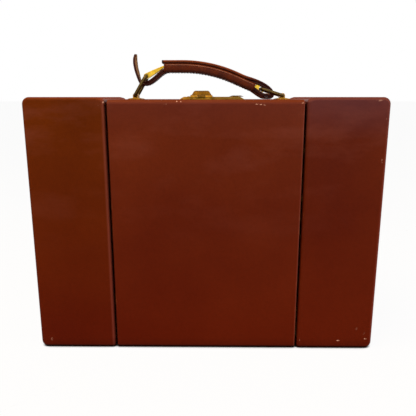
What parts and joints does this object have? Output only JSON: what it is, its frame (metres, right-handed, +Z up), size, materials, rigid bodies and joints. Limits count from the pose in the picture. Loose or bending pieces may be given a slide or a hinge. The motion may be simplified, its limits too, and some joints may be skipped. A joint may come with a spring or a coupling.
{
  "type": "toiletry case",
  "caption": "Rigid leather toiletry case: centre body with a drop front, a hinged end compartment each side, a sliding lock on top and a ring-hung carrying handle",
  "frame": {"origin": "bottom centre of the bounding box, on the surface that the case stands on", "axes": "+Z up, -Y the front that faces the viewer, +X to the viewer's right along the case's long side"},
  "size_m": [0.3586, 0.1326, 0.3086],
  "materials": {
    "case_leather": "smooth glazed red-brown calf, softly polished, worn at the edges",
    "handle_leather": "dark brown bridle leather with stitched edges",
    "fitting_leather": "thin matt brown skiver",
    "silk_lining": "watered gold-brown silk on card",
    "carcass_wood": "sawn and glued softwood board",
    "lock_brass": "aged brass, dull and lightly scratched",
    "bright_brass": "bright lacquered brass",
    "tarnished_brass": "dark olive tarnished brass wire",
    "steel": "plain drawn steel"
  },
  "bodies": {
    "case_body": {"body_boards": "carcass_wood", "body_leather": "case_leather", "body_lining": "silk_lining", "inner_shelf": "silk_lining", "cover_hinges": "lock_brass", "lock_case": "steel", "lock_plate": "lock_brass", "left_ring_staple": "lock_brass", "right_ring_staple": "lock_brass", "left_ball_catch": "lock_brass", "right_ball_catch": "lock_brass", "left_body_hinge_leaves": "lock_brass", "right_body_hinge_leaves": "lock_brass", "left_wing_hinge_pins": "steel", "right_wing_hinge_pins": "steel"},
    "drop_front": {"cover_boards": "carcass_wood", "cover_leather": "case_leather", "cover_lining": "silk_lining", "cover_pocket": "fitting_leather", "cover_hinge_pins": "steel", "hasp_hinge_plate": "lock_brass", "hasp_pin": "steel"},
    "hasp_unit": {"hasp": "lock_brass", "hasp_staple": "lock_brass"},
    "lock_slider": {"lock_bolt": "steel", "thumb_piece": "lock_brass"},
    "left_wing": {"left_wing_boards": "carcass_wood", "left_wing_leather": "case_leather", "left_wing_lining": "silk_lining", "left_bottle_loops": "fitting_leather", "left_wing_strike": "lock_brass", "left_wing_hinge_leaves": "lock_brass"},
    "right_wing": {"right_wing_boards": "carcass_wood", "right_wing_leather": "case_leather", "right_wing_lining": "silk_lining", "right_bottle_loops": "fitting_leather", "right_wing_strike": "lock_brass", "right_wing_hinge_leaves": "lock_brass"},
    "left_ring_unit": {"left_ring": "tarnished_brass"},
    "right_ring_unit": {"right_ring": "tarnished_brass"},
    "grip": {"grip_leather": "handle_leather", "grip_core": "carcass_wood", "grip_band": "handle_leather", "left_link": "bright_brass", "right_link": "bright_brass", "left_strap": "handle_leather", "right_strap": "handle_leather"}
  },
  "joints": [
    {"name": "drop_front_hinge", "type": "hinge", "parent": "case_body", "child": "drop_front", "pos_m": [0, -0.0623, 0.004], "axis": [1, 0, 0], "range_deg": [0, 90]},
    {"name": "hasp_hinge", "type": "hinge", "parent": "drop_front", "child": "hasp_unit", "pos_m": [-0.0045, -0.0467, 0.2657], "axis": [1, 0, 0], "range_deg": [0, 100]},
    {"name": "lock_slide", "type": "slide", "parent": "case_body", "child": "lock_slider", "axis": [-1, 0, 0], "range_m": [0, 0.006]},
    {"name": "left_wing_hinge", "type": "hinge", "parent": "case_body", "child": "left_wing", "pos_m": [-0.09755, 0.064, 0.133], "axis": [0, 0, -1], "range_deg": [0, 110]},
    {"name": "right_wing_hinge", "type": "hinge", "parent": "case_body", "child": "right_wing", "pos_m": [0.09755, 0.064, 0.133], "axis": [0, 0, 1], "range_deg": [0, 110]},
    {"name": "left_ring_hinge", "type": "hinge", "parent": "case_body", "child": "left_ring_unit", "pos_m": [-0.0773, 0, 0.2675], "axis": [0, 1, 0], "range_deg": [0, 14]},
    {"name": "grip_hinge", "type": "hinge", "parent": "left_ring_unit", "child": "grip", "pos_m": [-0.06494, 0, 0.28807], "axis": [0, 1, 0], "range_deg": [-21, 0]},
    {"name": "right_ring_hinge", "type": "hinge", "parent": "case_body", "child": "right_ring_unit", "pos_m": [0.0825, 0, 0.2675], "axis": [0, 1, 0], "range_deg": [0, 29]}
  ],
  "couplings": [
    {"joint": "grip_hinge", "follows": "left_ring_hinge", "ratio": -1.448},
    {"joint": "right_ring_hinge", "follows": "left_ring_hinge", "ratio": 2}
  ]
}
